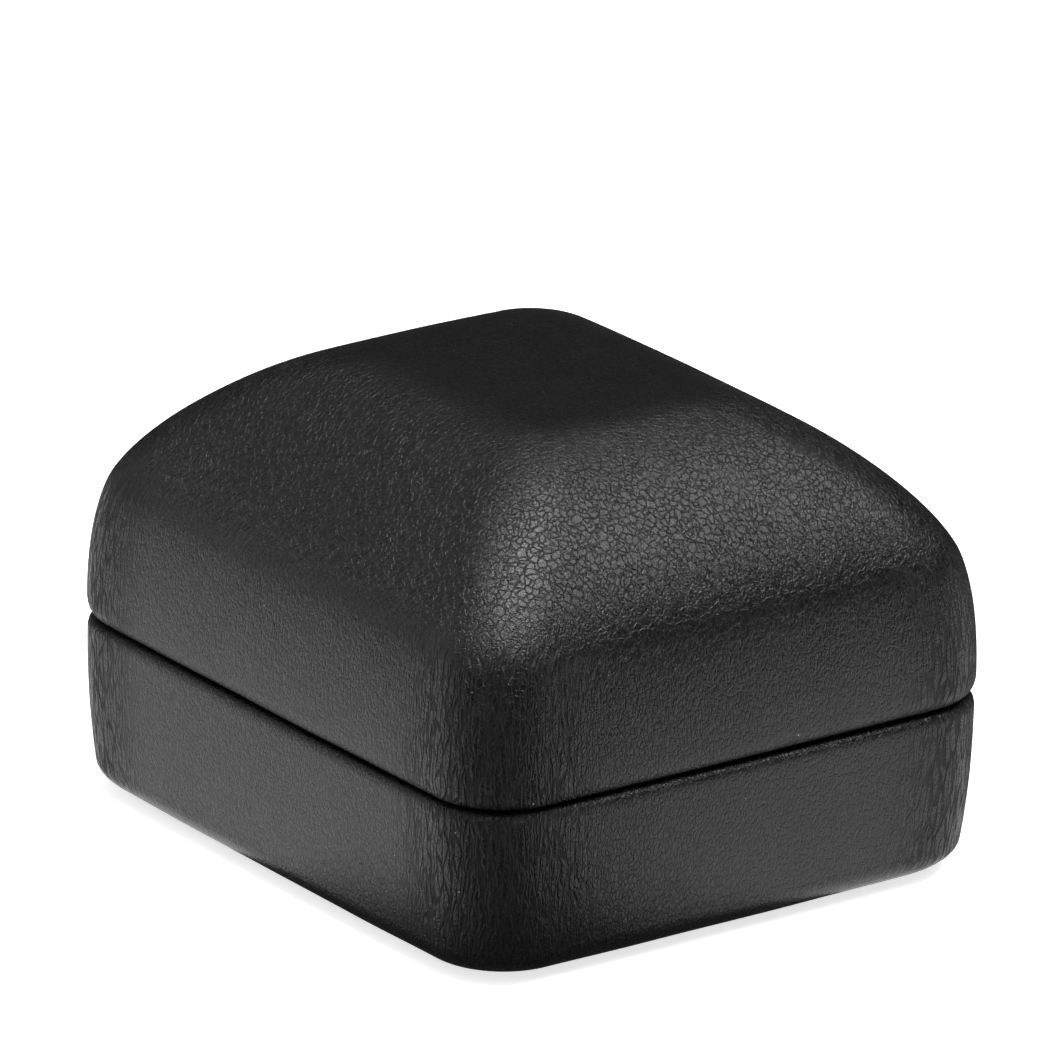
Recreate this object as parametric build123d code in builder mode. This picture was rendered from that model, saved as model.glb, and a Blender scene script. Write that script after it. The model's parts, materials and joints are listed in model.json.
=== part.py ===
"""A small hinged gift box for a ring: a moulded case in leatherette, domed and padded inside.

Millimetres, +Z up. The origin is on the table, under the middle of the case.
The hinge is at +Y, the front at -Y.
"""

import os
from math import atan2, cos, radians, sin

from build123d import *

# --- the case -------------------------------------------------------------------------------------
CASE_WIDTH = 54.3
CASE_DEPTH = 61.3
CASE_HEIGHT = 40.5
SEAM_Z = 15.4
SEAM_GAP = 0.3
LID_OVERHANG = 0.05

WRAP = 0.7  # leatherette, its paper and its glue
CORE = 2.0  # the moulded wall
FLOCK = 0.5  # the lid's lining
CORNER_RADIUS = 6.5  # in plan, at the seam
CORNER_SHRINK = 0.13  # how much the radius loses for each millimetre that the outside has come in
SIDE_BOW = 0.25  # how far the middle of each side bulges past its ends
BOW_GROWTH = 0.02  # and how much more, for each millimetre that the outside has come in

LID_LIP_TUCK = 0.8
BASE_LIP_TUCK = 0.4
BASE_LIP_HEIGHT = 0.9
BASE_DRAFT = 0.6
BOTTOM_ROUND_SIDE = 3.3
BOTTOM_ROUND_RISE = 2.6
PANEL = 0.2  # the sheet under the base
PANEL_MARGIN = 0.4
UNDER_FLANGE = 9.0  # how far the wrap reaches in below the base
LID_TURN_IN = 4.0  # how far the wrap runs up inside the lid's rim
BASE_TURN_IN = 2.0

# The dome's section, as its radius of curvature where the surface leans by so many degrees.
DOME_RADII = {0: 64.0, 8: 32.0, 20: 4.2, 35: 17.5, 50: 35.0, 65: 21.0, 80: 12.0, 90: 8.0}
DOME_SPANS = ((0, 4, 8, 12), (12, 16, 20), (20, 28, 36, 45), (45, 56, 68, 90))
LEAN_STEP = 0.25

# --- the insert -----------------------------------------------------------------------------------
PLATFORM_Z = 11.2
BOARD = 1.0
VELVET = 0.4
RISER = 1.2
FIT = 0.1
LINER_START = 0.7  # the liner's lower edge, above the core's floor
ROLL_LENGTH = 36.0
ROLL_WIDTH = 10.6
ROLL_TOP_Z = 15.8
ROLL_COVER = 0.6
ROLL_END_ROUND = 2.4
RING_SLOT = 0.6
WINDOW_MARGIN = 0.3

# --- the lid's pad --------------------------------------------------------------------------------
PAD_BOARD_Z = 33.0
PAD_SIZE = (32.8, 39.8)
PAD_THICKNESS = 3.4
PAD_CORNER = 5.0
PAD_ROUND = 1.6
SATIN = 0.3

# --- the hinge ------------------------------------------------------------------------------------
OPEN_ANGLE = 100.0
AXIS_INSET = 0.5  # the axis, inside the lid's back
LEAF = 0.4
PIN_RADIUS = 0.45
BORE_CLEARANCE = 0.05
KNUCKLE_RADIUS = 0.9
CAM_FLAT = 0.75  # the flats' distance from the axis
KNUCKLE_SPLIT = 6.0  # where the lid's knuckle ends and the base's begin
KNUCKLE_GAP = 0.2
HINGE_LENGTH = 24.0
PIN_HEAD_RADIUS = 0.75
PIN_HEAD = 0.35
NOTCH_LENGTH = 26.0
NOTCH_CLEARANCE = 0.15
FLANGE_BASE_Z = 7.0
FLANGE_LID_Z = 22.4
RIVET_PITCH = 8.0
RIVET_RADIUS = 0.6
RIVET_HEAD_RADIUS = 1.0
RIVET_HEAD = 0.3
RIVET_BITE = 1.0  # how far the shank goes into the core
RIVET_BASE_Z = 10.0
RIVET_LID_Z = 20.8
SPRING = 0.25
SPRING_WIDTH = 8.0
SPRING_LEG_Z = 12.4
SPRING_REACH = 0.25  # past the axis
SPRING_TRAVEL = 0.3

# --- worked out -----------------------------------------------------------------------------------
BASE_RIM_Z = SEAM_Z - SEAM_GAP / 2
LID_RIM_Z = SEAM_Z + SEAM_GAP / 2
CORE_BASE_RIM_Z = BASE_RIM_Z - WRAP
CORE_LID_RIM_Z = LID_RIM_Z + WRAP
FLOOR_Z = PANEL + WRAP + CORE
BASE_HALF = (CASE_WIDTH / 2, CASE_DEPTH / 2)
LID_HALF = (CASE_WIDTH / 2 + LID_OVERHANG, CASE_DEPTH / 2 + LID_OVERHANG)
CORE_FACE = WRAP + CORE  # the core's inner face, from the outside
TURNED_FACE = CORE_FACE + WRAP
BOTTOM_INSET = BASE_DRAFT + BOTTOM_ROUND_SIDE
AXIS_Y = LID_HALF[1] - AXIS_INSET
BASE_SEAT_Y = BASE_HALF[1] - CORE_FACE  # the leaves' inner faces
LID_SEAT_Y = LID_HALF[1] - CORE_FACE
KNUCKLE_BOTTOM_Z = SEAM_Z - KNUCKLE_RADIUS
KNUCKLE_TOP_Z = SEAM_Z + KNUCKLE_RADIUS
RIVET_XS = (-RIVET_PITCH, 0, RIVET_PITCH)
ROLL_Y = (RING_SLOT + ROLL_WIDTH) / 2
WINDOW = (ROLL_LENGTH + 2 * WINDOW_MARGIN, 2 * ROLL_WIDTH + RING_SLOT + 2 * WINDOW_MARGIN)
BOARD_EDGE = TURNED_FACE + FIT + VELVET
BOARD_Z = PLATFORM_Z - VELVET - BOARD


def dome_point(lean):
    """How far the dome's section has come in, and risen, where its surface leans by `lean` degrees."""
    stops = sorted(DOME_RADII)
    inset = 0.0
    rise = 0.0
    for step in range(round(lean / LEAN_STEP)):
        middle = (step + 0.5) * LEAN_STEP
        low = max(stop for stop in stops if stop <= middle)
        high = min(stop for stop in stops if stop > middle)
        share = (middle - low) / (high - low)
        radius = DOME_RADII[low] * (1 - share) + DOME_RADII[high] * share
        inset += radius * sin(radians(middle)) * radians(LEAN_STEP)
        rise += radius * cos(radians(middle)) * radians(LEAN_STEP)
    return inset, rise


DOME_START_Z = CASE_HEIGHT - dome_point(90)[1]


def outline(half, z, inset=0.0, offset=0.0):
    """The case's plan at height z: a rounded rectangle with bowed sides.

    It has come in by inset, which follows the outside, and by offset, a skin's depth below it.
    """
    side_x = half[0] - inset - offset
    side_y = half[1] - inset - offset
    bow = SIDE_BOW + BOW_GROWTH * inset
    end_x = side_x - bow
    end_y = side_y - bow
    with BuildSketch(Plane.XY.offset(z)) as plan:
        with BuildLine():
            ThreePointArc((end_x, -end_y), (side_x, 0), (end_x, end_y))
            ThreePointArc((end_x, end_y), (0, side_y), (-end_x, end_y))
            ThreePointArc((-end_x, end_y), (-side_x, 0), (-end_x, -end_y))
            ThreePointArc((-end_x, -end_y), (0, -side_y), (end_x, -end_y))
        make_face()
        fillet(plan.vertices(), radius=CORNER_RADIUS - CORNER_SHRINK * inset - offset)
    return plan.sketch


def straight_block(half, offset, low_z, high_z):
    """The plan at the seam, come in by offset and drawn straight up between two heights."""
    with BuildPart() as block:
        add(outline(half, low_z, offset=offset))
        extrude(amount=high_z - low_z)
    return block.part


def dome_block(offset):
    """Everything inside the dome's outer surface moved in by offset, above the lid's lip."""
    with BuildPart() as block:
        for span in DOME_SPANS:
            for lean in span:
                inset, rise = dome_point(lean)
                z = DOME_START_Z + rise - offset * sin(radians(lean))
                add(outline(LID_HALF, z, inset, offset * cos(radians(lean))))
            loft()
    return block.part


def lid_block(offset, rim_z):
    """The dome and the straight stretch below it, down to rim_z."""
    with BuildPart() as block:
        add(dome_block(offset))
        add(straight_block(LID_HALF, offset, rim_z, DOME_START_Z))
    return block.part


def lip_block(half, rim_z, inner_z, tuck):
    """The rounded lip of a half, whose outside tucks in towards the rim along a quarter of an ellipse."""
    with BuildPart() as block:
        for turn in (0, 30, 60, 90):
            z = inner_z + (rim_z - inner_z) * cos(radians(turn))
            add(outline(half, z, tuck * (1 - sin(radians(turn)))))
        loft()
    return block.part


def base_block(offset, top_z):
    """Everything inside the base's outer surface moved in by offset, from its bottom up to top_z."""
    lip_z = BASE_RIM_Z - BASE_LIP_HEIGHT
    wall_z = PANEL + BOTTOM_ROUND_RISE
    with BuildPart() as block:
        for turn in (90, 60, 30, 0):
            side = cos(radians(turn))
            rise = sin(radians(turn))
            lean = atan2(BOTTOM_ROUND_SIDE * rise, BOTTOM_ROUND_RISE * side)
            inset = BASE_DRAFT + BOTTOM_ROUND_SIDE * (1 - side)
            z = wall_z - BOTTOM_ROUND_RISE * rise + offset * sin(lean)
            add(outline(BASE_HALF, z, inset, offset * cos(lean)))
        loft()
        for share in (1.0, 0.5, 0.0):
            z = lip_z + (wall_z - lip_z) * share
            add(outline(BASE_HALF, z, BASE_DRAFT * share**2, offset))
        loft()
        if top_z > lip_z:
            add(outline(BASE_HALF, lip_z, offset=offset))
            extrude(amount=top_z - lip_z)
    return block.part


def roll_block(middle_y, shrink):
    """A plump bar along X with a half-round top and rounded ends, smaller all round by shrink."""
    half_width = ROLL_WIDTH / 2 - shrink
    top_z = ROLL_TOP_Z - shrink
    length = ROLL_LENGTH - 2 * shrink
    with BuildPart() as block:
        with BuildSketch(Plane.YZ.offset(-length / 2)):
            with BuildLine():
                Polyline(
                    (middle_y + half_width, top_z - half_width),
                    (middle_y + half_width, FLOOR_Z),
                    (middle_y - half_width, FLOOR_Z),
                    (middle_y - half_width, top_z - half_width),
                )
                ThreePointArc(
                    (middle_y - half_width, top_z - half_width),
                    (middle_y, top_z),
                    (middle_y + half_width, top_z - half_width),
                )
            make_face()
        extrude(amount=length)
        ends = block.faces().filter_by(Axis.X).edges()
        above_floor = [edge for edge in ends if edge.center().Z > FLOOR_Z + shrink]
        fillet(above_floor, radius=ROLL_END_ROUND - shrink)
    return block.part


def pad_block(shrink):
    """The pad below its card, with its lower edge rounded, smaller all round by shrink."""
    with BuildPart() as block:
        with BuildSketch(Plane.XY.offset(PAD_BOARD_Z)):
            RectangleRounded(PAD_SIZE[0] - 2 * shrink, PAD_SIZE[1] - 2 * shrink, PAD_CORNER - shrink)
        extrude(amount=shrink - PAD_THICKNESS)
        fillet(block.faces().sort_by(Axis.Z)[0].edges(), radius=PAD_ROUND - shrink)
    return block.part


def box_between(low, high):
    """A block with two given opposite corners."""
    size = [b - a for a, b in zip(low, high)]
    with BuildPart() as block:
        with BuildSketch(Plane.XY.offset(low[2])):
            with Locations(((low[0] + high[0]) / 2, (low[1] + high[1]) / 2)):
                Rectangle(size[0], size[1])
        extrude(amount=size[2])
    return block.part


def bar_along_x(radius, low_x, high_x):
    """A round bar on the hinge's axis."""
    with BuildPart() as block:
        with BuildSketch(Plane.YZ.offset(low_x)):
            with Locations((AXIS_Y, SEAM_Z)):
                Circle(radius)
        extrude(amount=high_x - low_x)
    return block.part


def studs(z, radius, low_y, high_y):
    """Three round studs along Y, where the rivets are."""
    with BuildPart() as block:
        with BuildSketch(Plane.XZ.offset(-low_y)):
            with Locations(*[(x, z) for x in RIVET_XS]):
                Circle(radius)
        extrude(amount=low_y - high_y)
    return block.part


# --- shapes that several pieces share -------------------------------------------------------------
base_core_outside = base_block(WRAP, CORE_BASE_RIM_Z)
base_core_inside = straight_block(BASE_HALF, CORE_FACE, FLOOR_Z, BASE_RIM_Z)
base_turned_inside = straight_block(BASE_HALF, TURNED_FACE, FLOOR_Z, SEAM_Z)
lid_core_outside = lid_block(WRAP, CORE_LID_RIM_Z)
lid_core_inside = lid_block(CORE_FACE, CORE_LID_RIM_Z)
lid_turned_inside = lid_block(TURNED_FACE, SEAM_Z)
lid_flocked_inside = lid_block(CORE_FACE + FLOCK, SEAM_Z)

half_notch = NOTCH_LENGTH / 2
half_hinge = HINGE_LENGTH / 2
half_spring = SPRING_WIDTH / 2
base_split = KNUCKLE_SPLIT + KNUCKLE_GAP / 2
lid_split = KNUCKLE_SPLIT - KNUCKLE_GAP / 2
beyond_y = CASE_DEPTH
hinge_notch = box_between(
    (-half_notch, BASE_SEAT_Y - WRAP - FIT, KNUCKLE_BOTTOM_Z - NOTCH_CLEARANCE),
    (half_notch, beyond_y, KNUCKLE_TOP_Z + NOTCH_CLEARANCE),
)
spring_notch = box_between(
    (-half_spring - 2 * FIT, BASE_SEAT_Y - SPRING - FIT, SPRING_LEG_Z - FIT),
    (half_spring + 2 * FIT, BASE_SEAT_Y, SEAM_Z),
)
spring_room = box_between(
    (-half_spring - 2 * FIT, BASE_SEAT_Y - FIT, SEAM_Z - CAM_FLAT - SPRING - SPRING_TRAVEL),
    (half_spring + 2 * FIT, beyond_y, SEAM_Z),
)
base_leaf_seat = box_between(
    (-half_hinge - FIT, BASE_SEAT_Y - WRAP, FLANGE_BASE_Z - FIT),
    (half_hinge + FIT, BASE_SEAT_Y + LEAF, SEAM_Z),
)
lid_leaf_seat = box_between(
    (-half_hinge - FIT, LID_SEAT_Y - WRAP, SEAM_Z),
    (half_hinge + FIT, LID_SEAT_Y + LEAF, FLANGE_LID_Z + FIT),
)
base_shanks = studs(RIVET_BASE_Z, RIVET_RADIUS, BASE_SEAT_Y, BASE_SEAT_Y + LEAF + RIVET_BITE)
base_heads = studs(RIVET_BASE_Z, RIVET_HEAD_RADIUS, BASE_SEAT_Y - RIVET_HEAD, BASE_SEAT_Y)
base_head_room = studs(RIVET_BASE_Z, RIVET_HEAD_RADIUS + FIT, BASE_SEAT_Y - RIVET_HEAD, BASE_SEAT_Y)
lid_shanks = studs(RIVET_LID_Z, RIVET_RADIUS, LID_SEAT_Y, LID_SEAT_Y + LEAF + RIVET_BITE)
lid_heads = studs(RIVET_LID_Z, RIVET_HEAD_RADIUS, LID_SEAT_Y - RIVET_HEAD, LID_SEAT_Y)
lid_head_room = studs(RIVET_LID_Z, RIVET_HEAD_RADIUS + FIT, LID_SEAT_Y - RIVET_HEAD, LID_SEAT_Y)
roll_front_inner = roll_block(-ROLL_Y, ROLL_COVER)
roll_back_inner = roll_block(ROLL_Y, ROLL_COVER)

with BuildPart() as turned_band:
    add(lid_core_inside)
    split(bisect_by=Plane.XY.offset(LID_RIM_Z + LID_TURN_IN), keep=Keep.BOTTOM)
lid_turned_band = turned_band.part

# --- the base -------------------------------------------------------------------------------------
# The moulded tub.
with BuildPart() as base_core:
    add(base_core_outside)
    add(base_core_inside, mode=Mode.SUBTRACT)
    for cut in (base_leaf_seat, hinge_notch, spring_room, base_shanks):
        add(cut, mode=Mode.SUBTRACT)

# The leatherette over it: down the outside, in below the floor, and over the rim to just inside.
with BuildPart() as base_wrap:
    add(base_block(0.0, BASE_RIM_Z - BASE_LIP_HEIGHT))
    add(lip_block(BASE_HALF, BASE_RIM_Z, BASE_RIM_Z - BASE_LIP_HEIGHT, BASE_LIP_TUCK))
    add(base_core_outside, mode=Mode.SUBTRACT)
    add(straight_block(BASE_HALF, CORE_FACE, BASE_RIM_Z - BASE_TURN_IN, CORE_BASE_RIM_Z))
    add(base_turned_inside, mode=Mode.SUBTRACT)
    add(outline(BASE_HALF, PANEL, BOTTOM_INSET + UNDER_FLANGE))
    extrude(amount=WRAP, mode=Mode.SUBTRACT)
    for cut in (hinge_notch, spring_notch):
        add(cut, mode=Mode.SUBTRACT)

# The sheet that the box stands on.
with BuildPart() as base_bottom_panel:
    add(outline(BASE_HALF, 0.0, BOTTOM_INSET + PANEL_MARGIN))
    extrude(amount=PANEL)

# The velvet strip round the inside, up to the wrap's turned edge.
with BuildPart() as base_liner:
    add(straight_block(BASE_HALF, CORE_FACE, FLOOR_Z + LINER_START, BASE_RIM_Z - BASE_TURN_IN))
    for cut in (base_turned_inside, spring_notch, base_head_room):
        add(cut, mode=Mode.SUBTRACT)

# --- the insert -----------------------------------------------------------------------------------
# The card ring that holds the platform up.
with BuildPart() as insert_riser:
    add(straight_block(BASE_HALF, BOARD_EDGE, FLOOR_Z, BOARD_Z))
    add(straight_block(BASE_HALF, BOARD_EDGE + RISER, FLOOR_Z, BOARD_Z), mode=Mode.SUBTRACT)

with BuildPart() as insert_board:
    add(straight_block(BASE_HALF, BOARD_EDGE, BOARD_Z, BOARD_Z + BOARD))
    with BuildSketch(Plane.XY.offset(BOARD_Z)):
        Rectangle(*WINDOW)
    extrude(amount=BOARD, mode=Mode.SUBTRACT)

# The velvet over the board and down its edge.
with BuildPart() as insert_velvet:
    add(straight_block(BASE_HALF, BOARD_EDGE - VELVET, BOARD_Z, PLATFORM_Z))
    add(straight_block(BASE_HALF, BOARD_EDGE, BOARD_Z, BOARD_Z + BOARD), mode=Mode.SUBTRACT)
    with BuildSketch(Plane.XY.offset(BOARD_Z)):
        Rectangle(*WINDOW)
    extrude(amount=BOARD + VELVET, mode=Mode.SUBTRACT)

with BuildPart() as roll_front_foam:
    add(roll_front_inner)

with BuildPart() as roll_front_velvet:
    add(roll_block(-ROLL_Y, 0.0))
    add(roll_front_inner, mode=Mode.SUBTRACT)

with BuildPart() as roll_back_foam:
    add(roll_back_inner)

with BuildPart() as roll_back_velvet:
    add(roll_block(ROLL_Y, 0.0))
    add(roll_back_inner, mode=Mode.SUBTRACT)

# --- the lid --------------------------------------------------------------------------------------
# The moulded dome.
with BuildPart() as lid_core:
    add(lid_core_outside)
    add(lid_core_inside, mode=Mode.SUBTRACT)
    for cut in (lid_leaf_seat, hinge_notch, lid_shanks):
        add(cut, mode=Mode.SUBTRACT)

# The leatherette over it and up inside its rim.
with BuildPart() as lid_wrap:
    add(dome_block(0.0))
    add(lip_block(LID_HALF, LID_RIM_Z, DOME_START_Z, LID_LIP_TUCK))
    add(lid_core_outside, mode=Mode.SUBTRACT)
    add(lid_turned_band)
    add(lid_turned_inside, mode=Mode.SUBTRACT)
    add(hinge_notch, mode=Mode.SUBTRACT)

# The flocked lining of the dome.
with BuildPart() as lid_liner:
    add(lid_core_inside)
    add(lid_flocked_inside, mode=Mode.SUBTRACT)
    split(bisect_by=Plane.XY.offset(LID_RIM_Z + LID_TURN_IN), keep=Keep.TOP)
    add(lid_head_room, mode=Mode.SUBTRACT)

# The card that carries the pad, pressed into the dome.
with BuildPart() as lid_pad_board:
    add(lid_flocked_inside)
    split(bisect_by=Plane.XY.offset(PAD_BOARD_Z), keep=Keep.TOP)
    split(bisect_by=Plane.XY.offset(PAD_BOARD_Z + BOARD), keep=Keep.BOTTOM)

pad_inner = pad_block(SATIN)

with BuildPart() as lid_pad_foam:
    add(pad_inner)

with BuildPart() as lid_pad_satin:
    add(pad_block(0.0))
    add(pad_inner, mode=Mode.SUBTRACT)

# --- the hinge ------------------------------------------------------------------------------------
# The base's leaf: a flange inside the back wall, and two tabs over the rim that end in knuckles.
with BuildPart() as hinge_base_leaf:
    leaf_top_z = KNUCKLE_BOTTOM_Z + LEAF
    base_leaf_y = BASE_SEAT_Y + LEAF
    add(box_between((-half_hinge, BASE_SEAT_Y, FLANGE_BASE_Z), (half_hinge, base_leaf_y, leaf_top_z)))
    add(spring_room, mode=Mode.SUBTRACT)
    for low_x, high_x in ((-half_hinge, -base_split), (base_split, half_hinge)):
        add(box_between((low_x, BASE_SEAT_Y, KNUCKLE_BOTTOM_Z), (high_x, AXIS_Y, leaf_top_z)))
        add(bar_along_x(KNUCKLE_RADIUS, low_x, high_x))
        add(bar_along_x(PIN_RADIUS, low_x, high_x), mode=Mode.SUBTRACT)
    add(base_shanks, mode=Mode.SUBTRACT)

# The lid's leaf: a flange, a tab, and a knuckle with a flat for each position that the spring holds.
with BuildPart() as hinge_lid_leaf:
    leaf_low_z = KNUCKLE_TOP_Z - LEAF
    lid_leaf_y = LID_SEAT_Y + LEAF
    add(box_between((-half_hinge, LID_SEAT_Y, leaf_low_z), (half_hinge, lid_leaf_y, FLANGE_LID_Z)))
    add(box_between((-lid_split, LID_SEAT_Y, leaf_low_z), (lid_split, AXIS_Y, KNUCKLE_TOP_Z)))
    add(bar_along_x(KNUCKLE_RADIUS, -lid_split, lid_split))
    add(bar_along_x(PIN_RADIUS + BORE_CLEARANCE, -lid_split, lid_split), mode=Mode.SUBTRACT)
    for angle in (0.0, OPEN_ANGLE):
        down = (0, sin(radians(angle)), -cos(radians(angle)))
        flat = Plane(origin=(0, AXIS_Y, SEAM_Z), x_dir=(1, 0, 0), z_dir=down).offset(CAM_FLAT)
        with BuildSketch(flat):
            Rectangle(2 * lid_split, 2 * KNUCKLE_RADIUS)
        extrude(amount=KNUCKLE_RADIUS, mode=Mode.SUBTRACT)
    add(lid_shanks, mode=Mode.SUBTRACT)

with BuildPart() as hinge_base_rivets:
    add(base_shanks)
    add(base_heads)

with BuildPart() as hinge_lid_rivets:
    add(lid_shanks)
    add(lid_heads)

with BuildPart() as hinge_pin:
    add(bar_along_x(PIN_RADIUS, -half_hinge, half_hinge))
    add(bar_along_x(PIN_HEAD_RADIUS, -half_hinge - PIN_HEAD, -half_hinge))
    add(bar_along_x(PIN_HEAD_RADIUS, half_hinge, half_hinge + PIN_HEAD))

# The strip of spring steel that bears on the lid knuckle's flats.
with BuildPart() as detent_spring:
    spring_top_z = SEAM_Z - CAM_FLAT
    leg_y = BASE_SEAT_Y - SPRING
    add(box_between((-half_spring, leg_y, SPRING_LEG_Z), (half_spring, BASE_SEAT_Y, spring_top_z)))
    add(
        box_between(
            (-half_spring, leg_y, spring_top_z - SPRING),
            (half_spring, AXIS_Y + SPRING_REACH, spring_top_z),
        )
    )
    bend = detent_spring.edges().filter_by(Axis.X).group_by(Axis.Y)[0].sort_by(Axis.Z)[-1]
    fillet(bend, radius=SPRING - FIT / 2)

# --- the files ------------------------------------------------------------------------------------
pieces = {
    "base_core": base_core,
    "base_wrap": base_wrap,
    "base_bottom_panel": base_bottom_panel,
    "base_liner": base_liner,
    "insert_riser": insert_riser,
    "insert_board": insert_board,
    "insert_velvet": insert_velvet,
    "roll_front_foam": roll_front_foam,
    "roll_front_velvet": roll_front_velvet,
    "roll_back_foam": roll_back_foam,
    "roll_back_velvet": roll_back_velvet,
    "lid_core": lid_core,
    "lid_wrap": lid_wrap,
    "lid_liner": lid_liner,
    "lid_pad_board": lid_pad_board,
    "lid_pad_foam": lid_pad_foam,
    "lid_pad_satin": lid_pad_satin,
    "hinge_base_leaf": hinge_base_leaf,
    "hinge_lid_leaf": hinge_lid_leaf,
    "hinge_base_rivets": hinge_base_rivets,
    "hinge_lid_rivets": hinge_lid_rivets,
    "hinge_pin": hinge_pin,
    "detent_spring": detent_spring,
}
os.makedirs("parts", exist_ok=True)
for name, piece in pieces.items():
    piece.part.label = name
    export_step(piece.part, f"parts/{name}.step")
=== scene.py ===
"""A black leatherette ring box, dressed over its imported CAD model: metres, +Z up, hinge at +Y."""

import json
import math

import bpy
import numpy as np
from mathutils import Matrix, Vector, noise


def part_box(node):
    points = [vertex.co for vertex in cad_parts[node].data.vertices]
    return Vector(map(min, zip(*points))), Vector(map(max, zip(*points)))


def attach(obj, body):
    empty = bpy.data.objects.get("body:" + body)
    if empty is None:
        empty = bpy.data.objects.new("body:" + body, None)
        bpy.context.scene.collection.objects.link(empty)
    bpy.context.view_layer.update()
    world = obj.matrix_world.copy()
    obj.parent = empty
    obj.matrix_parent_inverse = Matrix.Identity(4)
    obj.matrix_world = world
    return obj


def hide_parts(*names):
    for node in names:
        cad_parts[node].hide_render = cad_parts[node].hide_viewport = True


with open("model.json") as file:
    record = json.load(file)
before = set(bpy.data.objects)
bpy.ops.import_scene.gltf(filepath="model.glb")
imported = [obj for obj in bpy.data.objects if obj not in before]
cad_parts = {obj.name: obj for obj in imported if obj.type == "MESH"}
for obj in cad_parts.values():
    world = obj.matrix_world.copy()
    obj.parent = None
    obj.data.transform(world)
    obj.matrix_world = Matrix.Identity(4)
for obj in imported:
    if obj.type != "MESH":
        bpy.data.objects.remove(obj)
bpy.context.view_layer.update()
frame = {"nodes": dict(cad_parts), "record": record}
MM = 0.001

# --- sizes read from the frame --------------------------------------------------------------------
BASE_HIGH = Vector(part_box("base_wrap")[1])
LID_LOW, LID_HIGH = (Vector(corner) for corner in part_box("lid_wrap"))
PANEL_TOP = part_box("base_bottom_panel")[1][2]
BASE_HALF = (BASE_HIGH[0], BASE_HIGH[1])
LID_HALF = (LID_HIGH[0], LID_HIGH[1])
BASE_RIM = BASE_HIGH[2]
LID_RIM = LID_LOW[2]
LID_TOP = LID_HIGH[2]

# --- how the leatherette is shaped (as in the CAD) ------------------------------------------------
CORNER_RADIUS = 6.5 * MM
CORNER_SHRINK = 0.13
SIDE_BOW = 0.25 * MM
BOW_GROWTH = 0.02
BOW_GROWTH_END = 20 * MM
# The dome's radius in millimetres at each lean in degrees: 0 is an upright wall, 90 the flat top.
DOME_RADII = {0: 64.0, 8: 32.0, 20: 4.2, 35: 17.5, 50: 35.0, 65: 21.0, 80: 12.0, 90: 8.0}
PLATEAU_INSET = 20.0 * MM
PLATEAU_RINGS = 14
LID_LIP_TUCK = 0.8 * MM
BASE_LIP_TUCK = 0.4 * MM
BASE_LIP_HEIGHT = 0.9 * MM
BASE_DRAFT = 0.6 * MM
BOTTOM_ROUND_SIDE = 3.3 * MM
BOTTOM_ROUND_RISE = 2.6 * MM
UNDER_FLANGE = 9.0 * MM
TURNED_FACE = 3.4 * MM
TURNED_EDGE = 0.5 * MM
TURN_ROUND = 0.3 * MM
LID_TURN_IN = 4.0 * MM
BASE_TURN_IN = 2.0 * MM
NOTCH_HALF = 13.0 * MM
NOTCH_DEPTH = 0.9 * MM
NOTCH_EDGE = 0.3 * MM
NOTCH_FADE = 2.4 * MM
GRID = 0.42 * MM

# --- how the leatherette looks: cells and grains per millimetre, and depths in millimetres --------
PEBBLE_CELLS, PEBBLE_DEPTH = 1.6, 0.058
SMALL_CELLS, SMALL_DEPTH = 2.8, 0.035
DRAWN_CELLS, DRAWN_DEPTH = 1.9, 0.030
GRAIN_SCALE, GRAIN_DEPTH = 4.2, 0.055
FINE_SCALE, FINE_DEPTH = 11.0, 0.022
CREASE_ACROSS, CREASE_ALONG, CREASE_DEPTH = 2.1, 0.30, 0.115
FIBRE_DEPTH = 0.020
# The long creases start this far from a corner's middle, in millimetres, and are deepest this near.
CREASE_FAR, CREASE_NEAR = 12.5, 4.0

# --- how the soft pieces are shaped ---------------------------------------------------------------
PLATFORM_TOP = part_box("insert_velvet")[1][2]
FLOOR_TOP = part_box("roll_front_foam")[0][2]
WINDOW_HALF = (18.2 * MM, 11.1 * MM)
WINDOW_ROUND = 3.2 * MM
ROLL_COVER = 0.6 * MM
ROLL_KEEP = 0.06 * MM
ROLL_HELD = 2.2 * MM
ROLL_SWELL = 0.45 * MM
ROLL_SLACK = 0.03
ROLL_GAP = 0.12 * MM
ROLL_LIFT = 0.05 * MM
PAD_HELD = 0.7 * MM
PAD_SWELL = 0.9 * MM
PAD_SLACK = 0.012
PAD_GAP = 0.03 * MM
SATIN_COVER = 0.42 * MM
HEM = 1.3 * MM
HEM_GAP = 0.1 * MM
EDGE_ROUND = 0.5 * MM
TUCK_DEPTH = 0.5 * MM
TUCK_REACH = 1.1 * MM
PUCKER = 0.05 * MM
PUCKER_PITCH = 1.7 * MM
PUCKER_FADE = 1.6 * MM
PLATFORM_ROWS = 36
# The cloth simulation runs on a model ten times as large, where its settings behave like cloth.
SWELL_SCALE = 10.0
SWELL_VOXEL = 0.005
SWELL_FRAMES = 20
SWELL_CLOTH = {
    "quality": 6,
    "mass": 0.15,
    "tension_stiffness": 12,
    "compression_stiffness": 12,
    "shear_stiffness": 4,
    "bending_stiffness": 0.15,
    "use_pressure": True,
    "uniform_pressure_force": 4,
    "vertex_group_mass": "held",
}


def smooth(value, low, high):
    """0 below low, 1 above high, and a smooth step between them."""
    share = np.clip((value - low) / (high - low), 0.0, 1.0)
    return share * share * (3.0 - 2.0 * share)


# --- meshes ---------------------------------------------------------------------------------------
def coordinates(mesh):
    flat = np.empty(len(mesh.vertices) * 3)
    mesh.vertices.foreach_get("co", flat)
    return flat.reshape(-1, 3)


def move_points(mesh, points):
    mesh.vertices.foreach_set("co", points.ravel())
    mesh.update()


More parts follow.
